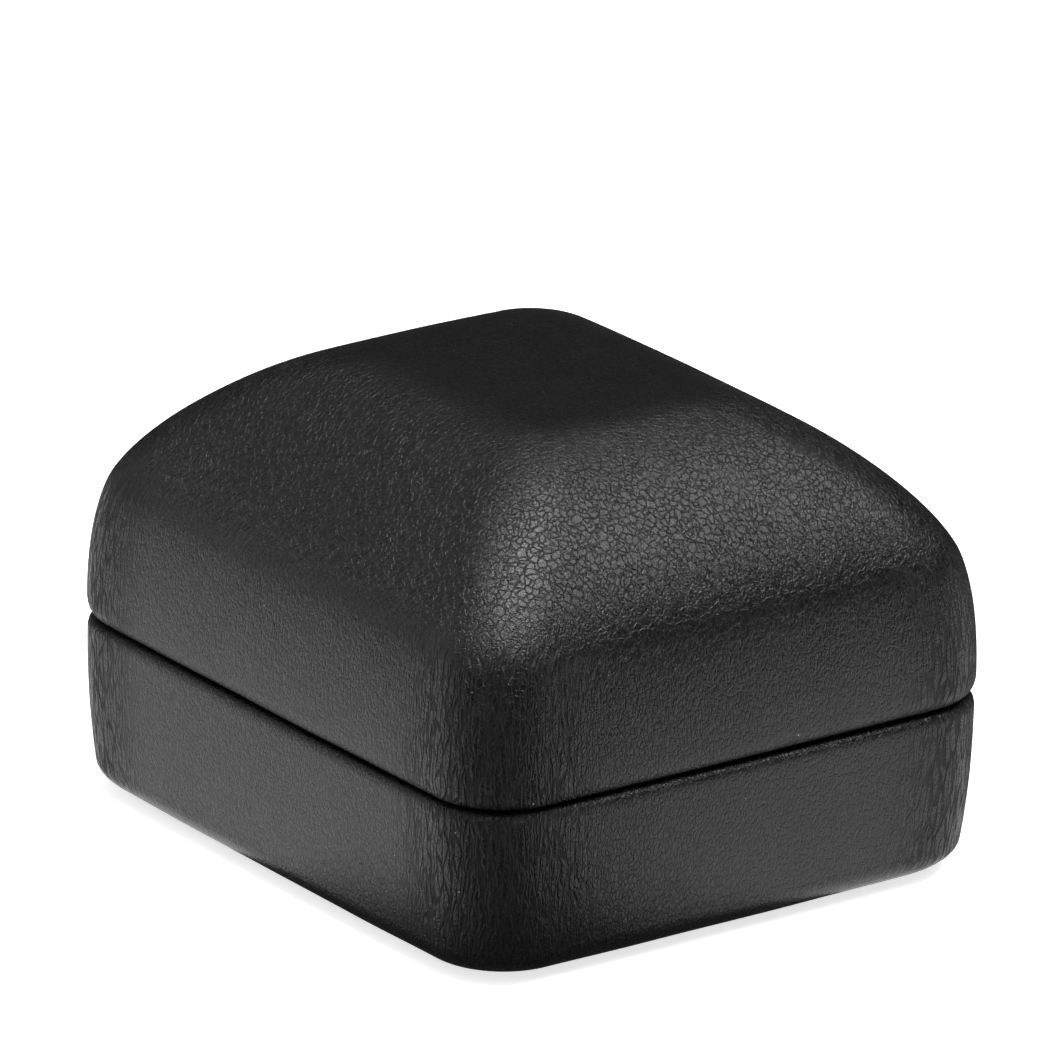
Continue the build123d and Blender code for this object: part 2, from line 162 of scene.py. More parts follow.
def bands(rings, count):
    """The quads that join each ring of count points to the next."""
    faces = []
    for low in range(0, (rings - 1) * count, count):
        for k in range(count):
            after = (k + 1) % count
            faces.append((low + k, low + after, low + count + after, low + count + k))
    return faces


def rounded_mesh(name, points, faces):
    """A mesh that is shaded smooth."""
    mesh = bpy.data.meshes.new(name)
    mesh.from_pydata([tuple(point) for point in points], [], faces)
    mesh.polygons.foreach_set("use_smooth", [True] * len(mesh.polygons))
    mesh.update()
    return mesh


# --- the leatherette's mesh -----------------------------------------------------------------------
def dome_profile(step=0.5):
    """The dome's section from its lip up: its insets and rises in metres, and its leans in degrees."""
    leans = np.arange(0.0, 90.0 + step / 2, step)
    middles = leans[:-1] + step / 2
    angles = np.radians(middles)
    radii = np.interp(middles, list(DOME_RADII), list(DOME_RADII.values())) * MM
    insets = np.concatenate(([0.0], np.cumsum(radii * np.sin(angles) * math.radians(step))))
    rises = np.concatenate(([0.0], np.cumsum(radii * np.cos(angles) * math.radians(step))))
    return insets, rises, leans


def resample(rows, spacing):
    """The rows of a profile, spaced evenly along its length, with the distance along it added."""
    rows = np.array(rows, dtype=float)
    steps = np.hypot(np.diff(rows[:, 0] + rows[:, 3]), np.diff(rows[:, 1]))
    along = np.concatenate(([0.0], np.cumsum(steps)))
    marks = np.linspace(0.0, along[-1], max(2, round(along[-1] / spacing) + 1))
    columns = [np.interp(marks, along, rows[:, k]) for k in range(rows.shape[1])]
    return np.column_stack(columns + [marks])


def quarter(count):
    """Angles from 0 to 90 degrees, in radians."""
    return np.linspace(0.0, math.pi / 2, count)


def rim_rows(rim, up, turn_in, tuck, height):
    """The skin's section from inside a rim, up its turned-in face, round the edge and over the lip.

    A row is the inset from the outside, the height, the lean, and the offset of a skin further in.
    """
    inner = rim + up * turn_in
    rows = [(0.0, inner, 0.0, TURNED_FACE - TURNED_EDGE), (0.0, inner, 0.0, TURNED_FACE)]
    for turn in quarter(6):
        offset = TURNED_FACE - TURN_ROUND * (1 - math.cos(turn))
        rows.append((0.0, rim + up * TURN_ROUND * (1 - math.sin(turn)), 0.0, offset))
    for turn in quarter(9):
        rows.append((tuck * (1 - math.sin(turn)), rim + up * height * (1 - math.cos(turn)), 0.0, 0.0))
    return rows


def lid_rows():
    """The lid wrap's section, from inside the rim and up the outside to the flat top."""
    insets, rises, leans = dome_profile()
    start = LID_TOP - rises[-1]
    rows = rim_rows(LID_RIM, 1, LID_TURN_IN, LID_LIP_TUCK, start - LID_RIM)
    dome = list(zip(insets, rises, leans))[1:]
    rows += [(inset, start + rise, lean, 0.0) for inset, rise, lean in dome]
    rows.append((PLATEAU_INSET, LID_TOP, 90.0, 0.0))
    return resample(rows, GRID)


def base_rows():
    """The base wrap's section, from inside the rim, down the outside and in under the floor."""
    lip = BASE_RIM - BASE_LIP_HEIGHT
    wall = PANEL_TOP + BOTTOM_ROUND_RISE
    rows = rim_rows(BASE_RIM, -1, BASE_TURN_IN, BASE_LIP_TUCK, BASE_LIP_HEIGHT)
    for share in np.linspace(0.0, 1.0, 12)[1:]:
        rows.append((BASE_DRAFT * share**2, lip + (wall - lip) * share, 0.0, 0.0))
    for turn in quarter(16)[1:]:
        inset = BASE_DRAFT + BOTTOM_ROUND_SIDE * (1 - math.cos(turn))
        rows.append((inset, wall - BOTTOM_ROUND_RISE * math.sin(turn), math.degrees(turn), 0.0))
    rows.append((BASE_DRAFT + BOTTOM_ROUND_SIDE + UNDER_FLANGE, PANEL_TOP, 90.0, 0.0))
    return resample(rows, GRID)


def plan_columns(half):
    """Where the columns stand round the plan: the side's number, whether it is that side's straight (0)
    or the corner after it (1), the share of it that is behind, and the distance round."""
    straight = [2 * (half[1] - CORNER_RADIUS), 2 * (half[0] - CORNER_RADIUS)] * 2
    arc = CORNER_RADIUS * math.pi / 2
    columns = []
    around = 0.0
    for side in range(4):
        for corner, length in ((0, straight[side]), (1, arc)):
            count = round(length / GRID)
            columns += [(side, corner, k / count, around + length * k / count) for k in range(count)]
            around += length
    return np.array(columns)


def turned(side, out, on):
    """x and y of points that lie out from the middle by out, and along their own side by on."""
    sides = [side == number for number in range(4)]
    return np.select(sides, [out, -on, -out, on]), np.select(sides, [on, out, -on, -out])


def plan_points(half, inset, columns, offset=0.0):
    """x and y of every column on the plan that has come in by inset and offset, and its normal's y."""
    half_x = half[0] - inset - offset
    half_y = half[1] - inset - offset
    shrink = max(inset, 0.0)
    bow = SIDE_BOW + BOW_GROWTH * min(shrink, BOW_GROWTH_END)
    radius = max(CORNER_RADIUS - CORNER_SHRINK * shrink - offset, 0.1 * MM)
    radius = min(radius, half_x * 0.98, half_y * 0.98)
    side = columns[:, 0].astype(int)
    along_y = side % 2 == 0
    length = np.where(along_y, half_y, half_x) - radius
    reach = np.where(along_y, half_x, half_y)
    other = np.where(along_y, half_y, half_x)
    share = columns[:, 2]
    place = (2 * share - 1) * length
    bulge = bow * (place / other) ** 2
    straight_out = reach - bulge
    end_bow = bow * (length / other) ** 2
    next_end_bow = bow * ((reach - radius) / reach) ** 2
    turn = share * math.pi / 2
    corner_out = reach - end_bow - radius + radius * np.cos(turn)
    corner_on = other - next_end_bow - radius + radius * np.sin(turn)
    is_corner = columns[:, 1] > 0.5
    shorten = np.where(is_corner, 1.0, (other - next_end_bow - radius) / length)
    out = np.where(is_corner, corner_out, straight_out)
    on = np.where(is_corner, corner_on, place * shorten)
    x, y = turned(side, out, on)
    angle = (side + np.where(is_corner, share, 0.0)) * math.pi / 2
    return x, y, np.sin(angle)


def leather_mesh(name, half, rows, rim, up):
    """A skin of quads over a profile and a plan, with the hinge's notch turned into its rim.

    Its points say how far they are from a corner, how they lean, and where they are on the flat skin.
    """
    columns = plan_columns(half)
    count = len(columns)
    points = []
    skin = []
    corner = []
    lean = []
    is_corner = columns[:, 1] > 0.5
    in_corner = np.abs(columns[:, 2] - 0.5) * CORNER_RADIUS * math.pi / 2
    side_length = np.where(columns[:, 0].astype(int) % 2 == 0, half[1], half[0]) - CORNER_RADIUS
    from_end = (1 - np.abs(2 * columns[:, 2] - 1)) * side_length
    to_corner = np.where(is_corner, in_corner, from_end + CORNER_RADIUS * math.pi / 4)
    shares = [1.0] * len(rows)
    if up > 0:
        shares += list(np.linspace(1.0, 0.0, PLATEAU_RINGS + 1)[1:-1])
        rows = list(rows) + [rows[-1]] * (PLATEAU_RINGS - 1)
    for share, (inset, z, slope, offset, along) in zip(shares, rows):
        x, y, normal_y = plan_points(half, inset, columns, offset)
        x, y = x * share, y * share
        at_back = (y > 0) & (normal_y > 0.5)
        in_notch = 1 - smooth(np.abs(x), NOTCH_HALF - NOTCH_EDGE, NOTCH_HALF + NOTCH_EDGE)
        fade = np.clip(1 - abs(z - rim) / NOTCH_FADE, 0.0, 1.0)
        heights = z + up * NOTCH_DEPTH * np.where(at_back, in_notch, 0.0) * fade
        points.append(np.column_stack((x, y, heights)))
        skin.append(np.column_stack((columns[:, 3], np.full(count, along), np.zeros(count))))
        corner.append(to_corner)
        lean.append(np.full(count, slope / 90.0))
    faces = bands(len(rows), count)
    if up > 0:
        last = (len(rows) - 1) * count
        centre = len(rows) * count
        faces += [(last + k, last + (k + 1) % count, centre) for k in range(count)]
        points.append(np.array([[0.0, 0.0, rows[-1][1]]]))
        skin.append(np.array([[0.0, rows[-1][4], 0.0]]))
        corner.append(np.array([PLATEAU_INSET]))
        lean.append(np.array([1.0]))
    else:
        faces = [face[::-1] for face in faces]
    mesh = rounded_mesh(name, np.concatenate(points), faces)
    for label, values in (("corner", np.concatenate(corner)), ("lean", np.concatenate(lean))):
        attribute = mesh.attributes.new(label, "FLOAT", "POINT")
        attribute.data.foreach_set("value", values.astype(np.float32))
    place = mesh.attributes.new("skin", "FLOAT_VECTOR", "POINT")
    place.data.foreach_set("vector", np.concatenate(skin).astype(np.float32).ravel())
    mesh.update()
    return mesh


def settle(mesh, depth, scale, seed):
    """Lets the glued skin stand off and in by a little, in broad soft patches."""
    normals = [vertex.normal.copy() for vertex in mesh.vertices]
    for vertex, normal in zip(mesh.vertices, normals):
        place = vertex.co / scale + Vector((seed, 0.0, 0.0))
        vertex.co += normal * depth * noise.noise(place)
    mesh.update()


def piece(name, mesh, body):
    """A new object that rides on a body."""
    made = bpy.data.objects.new(name, mesh)
    bpy.context.scene.collection.objects.link(made)
    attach(made, body)
    return made


# --- soft pieces ----------------------------------------------------------------------------------
def applied(source):
    """The mesh that an object's modifiers make."""
    graph = bpy.context.evaluated_depsgraph_get()
    graph.update()
    return bpy.data.meshes.new_from_object(source.evaluated_get(graph), depsgraph=graph)


def stuffed(name, node, cover, pinned, cap, slack):
    """A CAD solid's shape, remeshed, covered, and swollen by cloth simulation.

    pinned says which points, from their z, are held. A point moves by cap at most, and slack is the
    cloth's spare length.
    """
    low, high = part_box(node)
    centre = np.array((low + high) / 2)
    mesh = frame["nodes"][node].data.copy()
    mesh.materials.clear()
    mesh.vertices.foreach_set("co", ((coordinates(mesh) - centre) * SWELL_SCALE).ravel())
    work = bpy.data.objects.new(name + "_work", mesh)
    bpy.context.scene.collection.objects.link(work)
    voxels = work.modifiers.new("voxels", "REMESH")
    voxels.mode = "VOXEL"
    voxels.voxel_size = SWELL_VOXEL
    work.data = applied(work)
    work.modifiers.clear()
    normals = np.empty(len(work.data.vertices) * 3)
    work.data.vertices.foreach_get("normal", normals)
    start = coordinates(work.data) + normals.reshape(-1, 3) * cover * SWELL_SCALE
    work.data.vertices.foreach_set("co", start.ravel())
    work.data.update()
    swollen = start
    held = work.vertex_groups.new(name="held")
    heights = start[:, 2] / SWELL_SCALE + centre[2]
    held.add([int(k) for k in np.flatnonzero(pinned(heights))], 1.0, "REPLACE")
    cloth = work.modifiers.new("cloth", "CLOTH")
    for key, value in SWELL_CLOTH.items():
        setattr(cloth.settings, key, value)
    cloth.settings.shrink_min = -slack
    cloth.settings.effector_weights.gravity = 0
    for number in range(1, SWELL_FRAMES + 1):
        bpy.context.scene.frame_set(number)
    swollen = coordinates(applied(work))
    bpy.context.scene.frame_set(1)
    work.modifiers.clear()
    moves = swollen - start
    lengths = np.maximum(np.linalg.norm(moves, axis=1, keepdims=True), 1e-9)
    moves *= np.minimum(1.0, cap * SWELL_SCALE / lengths)
    points = (start + moves) / SWELL_SCALE + centre
    work.data.vertices.foreach_set("co", points.ravel())
    work.vertex_groups.clear()
    work.modifiers.new("smooth", "SUBSURF").levels = 1
    made = applied(work)
    made.name = name
    bpy.data.objects.remove(work)
    made.polygons.foreach_set("use_smooth", [True] * len(made.polygons))
    return made


def roll_mesh(name, node, side):
    """A velvet-covered roll: plump, narrowed into its opening, and pressed flat against the other one."""
    held = PLATFORM_TOP - ROLL_HELD
    mesh = stuffed(name, node, ROLL_COVER, lambda z: z < held, ROLL_SWELL, ROLL_SLACK)
    points = coordinates(mesh)
    below = smooth(points[:, 2], PLATFORM_TOP + 0.5 * MM, PLATFORM_TOP - 0.2 * MM)
    for axis, limit in enumerate(WINDOW_HALF):
        inside = np.clip(points[:, axis], ROLL_GAP - limit, limit - ROLL_GAP)
        points[:, axis] += (inside - points[:, axis]) * below
    points[:, 1] = side * np.maximum(side * points[:, 1], ROLL_KEEP)
    points[:, 2] = np.maximum(points[:, 2], FLOOR_TOP + ROLL_LIFT)
    move_points(mesh, points)
    return mesh


def pad_mesh(name):
    """The satin pad in the lid: flat against its card, crowned towards the ring, its edge drawn in."""
    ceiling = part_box("lid_pad_board")[0][2]
    held = ceiling - PAD_HELD
    mesh = stuffed(name, "lid_pad_foam", SATIN_COVER, lambda z: z > held, PAD_SWELL, PAD_SLACK)
    points = coordinates(mesh)
    points[:, 2] = np.minimum(points[:, 2], ceiling - PAD_GAP)
    move_points(mesh, points)
    return mesh


def window_points(columns):
    """x and y of every column on the rounded opening that the rolls stand in."""
    side = columns[:, 0].astype(int)
    is_corner = columns[:, 1] > 0.5
    turn = columns[:, 2] * math.pi / 2
    across = 2 * columns[:, 2] - 1
    reach = np.where(side % 2 == 0, *WINDOW_HALF)
    other = np.where(side % 2 == 0, *WINDOW_HALF[::-1])
    out = np.where(is_corner, reach - WINDOW_ROUND + WINDOW_ROUND * np.cos(turn), reach)
    on_corner = other - WINDOW_ROUND + WINDOW_ROUND * np.sin(turn)
    return turned(side, out, np.where(is_corner, on_corner, across * (other - WINDOW_ROUND)))


def platform_mesh(name):
    """Velvet over the platform's card: its outer edge turned down, its inner edge tucked in by the rolls."""
    columns = plan_columns(BASE_HALF)
    outer = TURNED_FACE + HEM_GAP
    bottom = PLATFORM_TOP - HEM
    rows = [(0.0, bottom), (0.0, PLATFORM_TOP - EDGE_ROUND)]
    for turn in quarter(6):
        drop = EDGE_ROUND * (1 - math.sin(turn))
        rows.append((EDGE_ROUND * (1 - math.cos(turn)), PLATFORM_TOP - drop))
    points = []
    for inset, z in rows:
        x, y = plan_points(BASE_HALF, 0.0, columns, outer + inset)[:2]
        points.append(np.column_stack((x, y, np.full(len(x), z))))
    edge_x, edge_y = plan_points(BASE_HALF, 0.0, columns, outer + EDGE_ROUND)[:2]
    hole_x, hole_y = window_points(columns)
    gap = np.hypot(edge_x - hole_x, edge_y - hole_y)
    for step in np.linspace(0.0, 1.0, PLATFORM_ROWS)[1:]:
        x = edge_x + (hole_x - edge_x) * step
        y = edge_y + (hole_y - edge_y) * step
        away = gap * (1 - step)
        dip = TUCK_DEPTH * np.exp(-(away / TUCK_REACH) ** 2)
        pucker = PUCKER * np.sin(columns[:, 3] / PUCKER_PITCH) * np.exp(-away / PUCKER_FADE)
        points.append(np.column_stack((x, y, PLATFORM_TOP - dip + pucker)))
    last = points[-1].copy()
    last[:, 2] = bottom
    points.append(last)
    return rounded_mesh(name, np.concatenate(points), bands(len(points), len(columns)))


# --- materials ------------------------------------------------------------------------------------
class Shader:
    """A short way to write a node tree. Textures are sized per millimetre, bumps in millimetres."""

    def __init__(self, name):
        self.material = bpy.data.materials.new(name)
        self.material.use_nodes = True
        self.tree = self.material.node_tree
        self.tree.nodes.clear()
        self.output = self.add("ShaderNodeOutputMaterial")
        self.surface = self.add("ShaderNodeBsdfPrincipled")
        self.tree.links.new(self.surface.outputs["BSDF"], self.output.inputs["Surface"])

    def add(self, kind, inputs=None, **settings):
        node = self.tree.nodes.new(kind)
        for key, value in settings.items():
            setattr(node, key, value)
        for key, value in (inputs or {}).items():
            self.put(node.inputs[key], value)
        return node

    def put(self, socket, value):
        if isinstance(value, bpy.types.NodeSocket):
            self.tree.links.new(value, socket)
        else:
            socket.default_value = value

    def finish(self, **inputs):
        for key, value in inputs.items():
            self.put(self.surface.inputs[key.replace("_", " ")], value)
        return self.material

    def place(self):
        return self.add("ShaderNodeTexCoord").outputs["Object"]

    def millimetres(self):
        return self.scaled(self.place(), 1 / MM, 1 / MM, 1 / MM)

    def attribute(self, name, output="Fac"):
        return self.add("ShaderNodeAttribute", attribute_name=name).outputs[output]

    def math(self, operation, a, b):
        node = self.add("ShaderNodeMath", operation=operation)
        self.put(node.inputs[0], a)
        self.put(node.inputs[1], b)
        return node.outputs[0]

    def scaled(self, vector, x, y, z):
        node = self.add("ShaderNodeVectorMath", operation="MULTIPLY")
        self.put(node.inputs[0], vector)
        node.inputs[1].default_value = (x, y, z)
        return node.outputs[0]

    def shifted(self, vector, by, amount):
        """The vector pushed about by a colour texture, by up to amount."""
        centred = self.add("ShaderNodeVectorMath", operation="SUBTRACT")
        self.put(centred.inputs[0], by)
        centred.inputs[1].default_value = (0.5, 0.5, 0.5)
        node = self.add("ShaderNodeVectorMath", operation="MULTIPLY_ADD")
        self.put(node.inputs[0], centred.outputs[0])
        node.inputs[1].default_value = (amount, amount, amount)
        self.put(node.inputs[2], vector)
        return node.outputs[0]

    def noise(self, vector, scale, detail=3.0, rough=0.5, output="Fac"):
        node = self.add("ShaderNodeTexNoise", {"Scale": scale, "Detail": detail, "Roughness": rough})
        self.put(node.inputs["Vector"], vector)
        return node.outputs[output]

    def cells(self, vector, scale, feature="F1", randomness=1.0):
        node = self.add("ShaderNodeTexVoronoi", feature=feature)
        self.put(node.inputs["Vector"], vector)
        self.put(node.inputs["Scale"], scale)
        node.inputs["Randomness"].default_value = randomness
        return node.outputs["Distance"]

    def creases(self, vector, scale, width):
        """0 in the creases between cells, and 1 from width away."""
        return self.ramp(self.cells(vector, scale, "DISTANCE_TO_EDGE"), 0.0, width)

    def ramp(self, value, low, high, out_low=0.0, out_high=1.0, kind="SMOOTHSTEP"):
        node = self.add("ShaderNodeMapRange", interpolation_type=kind)
        for key, given in (("Value", value), ("From Min", low), ("From Max", high)):
            self.put(node.inputs[key], given)
        self.put(node.inputs["To Min"], out_low)
        self.put(node.inputs["To Max"], out_high)
        return node.outputs["Result"]

    def blend(self, share, a, b):
        node = self.add("ShaderNodeMix", data_type="RGBA")
        self.put(node.inputs[0], share)
        self.put(node.inputs[6], a)
        self.put(node.inputs[7], b)
        return node.outputs[2]

    def folded(self, operation, values):
        out = values[0]
        for value in values[1:]:
            out = self.math(operation, out, value)
        return out

    def total(self, *values):
        return self.folded("ADD", values)

    def product(self, *values):
        return self.folded("MULTIPLY", values)

    def bump(self, height, distance=MM):
        node = self.add("ShaderNodeBump", {"Strength": 1.0, "Distance": distance, "Height": height})
        return node.outputs["Normal"]


def leatherette():
    """Soft black PU: fine grain on the flats, pebbles on the slopes, long creases round the corners."""
    s = Shader("leatherette")
    place = s.millimetres()
    skin = s.scaled(s.attribute("skin", "Vector"), 1 / MM, 1 / MM, 0.0)
    to_corner = s.product(s.attribute("corner"), 1 / MM)
    lean = s.attribute("lean")
    slope = s.product(s.ramp(lean, 0.20, 0.46), s.ramp(lean, 0.92, 0.66))
    wall = s.ramp(lean, 0.28, 0.10)
    near = s.product(s.ramp(to_corner, CREASE_FAR, CREASE_NEAR), s.ramp(lean, 0.45, 0.14))
    lid_wall = s.product(s.ramp(lean, 0.004, 0.03), s.ramp(lean, 0.34, 0.16))
    patch = s.noise(place, 0.16, 2.0)
    drift = s.noise(place, 0.9, 2.0, output="Color")
    wander = s.noise(place, 3.2, 1.0, output="Color")

    pushed = s.shifted(s.shifted(place, drift, 0.9), wander, 0.30)
    pebbles = s.creases(s.scaled(pushed, 1.0, 1.0, 0.72), PEBBLE_CELLS, 0.13)
    upright = s.scaled(s.shifted(place, drift, 0.5), 1.0, 1.0, 0.5)
    small = s.creases(upright, SMALL_CELLS, 0.16)
    pulled = s.scaled(s.shifted(place, drift, 0.7), 1.0, 1.0, 0.42)
    drawn = s.creases(pulled, DRAWN_CELLS, 0.13)
    grain = s.noise(place, GRAIN_SCALE, 3.0, 0.62)
    fine = s.noise(place, FINE_SCALE, 2.0, 0.5)
    pebbled = s.product(slope, s.ramp(patch, 0.25, 0.6, 0.55, 1.0))
    wavy = s.shifted(skin, s.noise(skin, 0.35, 2.0, output="Color"), 1.0)
    ridge = s.creases(s.scaled(wavy, CREASE_ACROSS, CREASE_ALONG, 1.0), 1.0, 0.17)
    fibres = s.noise(s.scaled(wavy, 4.4, 0.5, 1.0), 1.0, 2.0, 0.5)
    height = s.total(
        s.product(pebbles, s.ramp(pebbled, 0.0, 1.0, 0.10, 1.0, "LINEAR"), PEBBLE_DEPTH),
        s.product(small, s.ramp(wall, 0.0, 1.0, 0.2, 1.0), SMALL_DEPTH),
        s.product(drawn, lid_wall, DRAWN_DEPTH),
        s.product(grain, GRAIN_DEPTH),
        s.product(fine, FINE_DEPTH),
        s.product(ridge, near, CREASE_DEPTH),
        s.product(fibres, near, FIBRE_DEPTH),
    )

    speck = s.math("LESS_THAN", s.cells(place, 0.42), 0.028)
    lint = s.product(speck, s.math("GREATER_THAN", s.noise(place, 0.7, 0.0), 0.60))
    black = s.blend(s.ramp(patch, 0.3, 0.7), (0.0024, 0.0024, 0.0027, 1), (0.0036, 0.0036, 0.0040, 1))
    pressed = s.product(s.math("SUBTRACT", 1.0, ridge), near)
    rough = s.total(
        s.ramp(grain, 0.3, 0.7, 0.23, 0.31),
        s.product(s.math("SUBTRACT", 1.0, pebbles), 0.08),
        s.product(pressed, 0.45),
    )
    return s.finish(
        Base_Color=s.blend(lint, black, (0.22, 0.22, 0.21, 1)),
        Roughness=rough,
        Normal=s.bump(height),
        Specular_IOR_Level=0.5,
    )


def velvet(name, light, dark):
    """Short pile: brushed patches, tiny tufts, and a pale bloom where it turns away."""
    s = Shader(name)
    place = s.millimetres()
    stroke = s.noise(s.shifted(place, s.noise(place, 0.30, 2.0, output="Color"), 2.5), 0.22, 2.0, 0.45)
    tufts = s.noise(place, 7.5, 2.0, 0.6)
    threads = s.noise(s.scaled(place, 1.0, 2.2, 1.0), 3.4, 2.0, 0.5)
    tone = s.total(
        s.ramp(stroke, 0.25, 0.75, 0.0, 0.26),
        s.ramp(tufts, 0.25, 0.75, 0.0, 0.46),
        s.ramp(threads, 0.3, 0.7, 0.0, 0.28),
    )
    height = s.total(
        s.product(tufts, 0.16),
        s.product(threads, 0.06),
        s.product(stroke, 0.20),
    )
    return s.finish(
        Base_Color=s.blend(tone, dark, light),
        Roughness=s.ramp(tufts, 0.3, 0.7, 0.80, 0.95),
        Normal=s.bump(height),
        Specular_IOR_Level=0.2,
        Sheen_Weight=0.55,
        Sheen_Roughness=0.35,
    )


def satin():
    """Fine satin: floats along one way, slow waves of tone, and small soft creases all over it."""
    s = Shader("satin")
    place = s.millimetres()
    floats = s.noise(s.scaled(place, 1.2, 9.0, 1.2), 1.6, 2.0, 0.5)
    weave = s.cells(s.scaled(place, 3.0, 8.0, 3.0), 1.0, "F1", 0.35)
    wave = s.noise(s.scaled(place, 0.30, 0.12, 0.3), 1.0, 2.0)
    folds = s.noise(s.shifted(place, s.noise(place, 0.2, 1.0, output="Color"), 3.0), 0.28, 1.0)
    colour = s.blend(s.ramp(wave, 0.25, 0.75), (0.74, 0.68, 0.56, 1), (0.83, 0.78, 0.67, 1))
    colour = s.blend(s.ramp(weave, 0.1, 0.6, 0.0, 0.18), colour, (0.50, 0.43, 0.33, 1))
    height = s.total(
        s.product(floats, 0.030),
        s.product(weave, 0.020),
        s.product(folds, 0.15),
    )
    return s.finish(
        Base_Color=colour,
        Roughness=s.ramp(floats, 0.3, 0.7, 0.30, 0.42),
        Normal=s.bump(height),
        Specular_IOR_Level=0.55,
        Sheen_Weight=0.25,
        Sheen_Roughness=0.3,
    )


def foam():
    """Open cells in cream polyurethane foam, with painted shade darkening the hollow of each cell."""
    s = Shader("foam")
    place = s.millimetres()
    cell = s.cells(place, 2.6)
    coarse = s.noise(place, 0.5, 2.0)
    # Painted shade: the colour darkens towards each cell's middle, where the bump is lowest, as if in shadow
    # inside the pore.
    colour = s.blend(s.ramp(cell, 0.1, 0.5), (0.42, 0.37, 0.28, 1), (0.80, 0.76, 0.66, 1))
    colour = s.blend(s.ramp(coarse, 0.3, 0.7, 0.0, 0.25), colour, (0.74, 0.66, 0.48, 1))
    rough = s.ramp(cell, 0.1, 0.5, 0.95, 0.8)
    return s.finish(Base_Color=colour, Roughness=rough, Normal=s.bump(cell, 0.15 * MM))


def board(name, light, dark, speck):
    """Pressed card: long fibres, cloudy tone and stray specks."""
    s = Shader(name)
    place = s.millimetres()
    drift = s.noise(place, 0.7, 1.0, output="Color")
    fibres = s.noise(s.shifted(s.scaled(place, 3.2, 0.5, 3.2), drift, 1.5), 1.0, 3.0)
    cloud = s.noise(place, 0.25, 3.0)
    dots = s.math("LESS_THAN", s.cells(place, 0.9), 0.08)
    tone = s.math("ADD", s.ramp(fibres, 0.3, 0.7, 0.0, 0.6), s.ramp(cloud, 0.3, 0.7, 0.0, 0.4))
    colour = s.blend(s.product(dots, 0.6), s.blend(tone, dark, light), speck)
    height = s.total(s.product(fibres, 0.05), s.product(s.noise(place, 6.0, 2.0), 0.03))
    rough = s.ramp(fibres, 0.3, 0.7, 0.78, 0.92)
    return s.finish(Base_Color=colour, Roughness=rough, Normal=s.bump(height))


def moulded():
    """Black moulded plastic: an eroded mould's grain, flow marks and handling shine."""
    s = Shader("moulded_plastic")
    place = s.millimetres()
    grain = s.noise(place, 5.5, 2.0, 0.6)
    flow = s.noise(s.scaled(place, 0.35, 0.35, 0.06), 1.0, 2.0)
    colour = s.blend(s.ramp(flow, 0.35, 0.65), (0.012, 0.012, 0.013, 1), (0.022, 0.022, 0.024, 1))
    rough = s.total(s.ramp(grain, 0.3, 0.7, 0.42, 0.55), s.ramp(flow, 0.3, 0.7, 0.0, 0.08))
    height = s.total(s.product(grain, 0.05), s.product(flow, 0.03))
    return s.finish(Base_Color=colour, Roughness=rough, Normal=s.bump(height))


def steel(name, light, dark, low, high, streak):
    """Rolled and plated steel: streaks along the strip, fine scratches and dull spots."""
    s = Shader(name)
    place = s.millimetres()
    streaks = s.noise(s.scaled(place, *streak), 1.0, 3.0, 0.6)
    drift = s.noise(place, 0.6, 1.0, output="Color")
    scratch = s.noise(s.shifted(s.scaled(place, 0.5, 6.0, 6.0), drift, 2.0), 1.0, 2.0)
    spots = s.noise(place, 1.4, 3.0, 0.6)
    tone = s.math("ADD", s.ramp(streaks, 0.3, 0.7, 0.0, 0.6), s.ramp(spots, 0.35, 0.65, 0.0, 0.4))
    rough = s.total(s.ramp(streaks, 0.3, 0.7, low, high), s.ramp(spots, 0.55, 0.75, 0.0, 0.12))
    height = s.total(s.product(streaks, 0.012), s.product(scratch, 0.008))
    colour = s.blend(tone, dark, light)
    return s.finish(Base_Color=colour, Metallic=1.0, Roughness=rough, Normal=s.bump(height))


# --- the two leatherette skins --------------------------------------------------------------------
LEATHER = leatherette()


def leather_skin(name, half, rows, rim, up, body, node, seed):
    """The skin that stands for a CAD wrap."""
    mesh = leather_mesh(name, half, rows, rim, up)
    settle(mesh, depth=0.05 * MM, scale=9 * MM, seed=seed)
    mesh.materials.append(LEATHER)
    made = piece(name, mesh, body)
    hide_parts(node)


leather_skin("lid_leather", LID_HALF, lid_rows(), LID_RIM, 1, "lid", "lid_wrap", 3.0)
leather_skin("base_leather", BASE_HALF, base_rows(), BASE_RIM, -1, "base", "base_wrap", 11.0)


# --- velvet, satin and everything else inside -----------------------------------------------------
IVORY = (0.80, 0.73, 0.60, 1)
IVORY_SHADE = (0.50, 0.43, 0.33, 1)
CARD_TONES = [(0.56, 0.50, 0.40, 1), (0.40, 0.34, 0.26, 1), (0.20, 0.16, 0.11, 1)]
BASE_CARD_TONES = [(0.020, 0.020, 0.021, 1), (0.009, 0.009, 0.010, 1), (0.07, 0.07, 0.07, 1)]
PLATED_TONES = [(0.68, 0.68, 0.69, 1), (0.50, 0.50, 0.51, 1)]
RIVET_TONES = [(0.62, 0.62, 0.63, 1), (0.44, 0.44, 0.45, 1)]
SPRING_TONES = [(0.26, 0.27, 0.31, 1), (0.13, 0.13, 0.16, 1)]
MATERIALS = {
    "leatherette": LEATHER,
    "moulded_plastic": moulded(),
    "base_card": board("base_card", *BASE_CARD_TONES),
    "velvet": velvet("velvet", IVORY, IVORY_SHADE),
    "card": board("card", *CARD_TONES),
    "foam": foam(),
    "satin": satin(),
    "plated_steel": steel("plated_steel", *PLATED_TONES, 0.18, 0.34, (0.4, 5.0, 5.0)),
    "rivet_steel": steel("rivet_steel", *RIVET_TONES, 0.24, 0.42, (3.0, 3.0, 3.0)),
    "spring_steel": steel("spring_steel", *SPRING_TONES, 0.22, 0.40, (5.0, 0.5, 0.5)),
}
for subpart in frame["record"]["subparts"]:
    for place in frame["nodes"][subpart["node"]].material_slots:
        place.material = MATERIALS[subpart["material_slot"]]


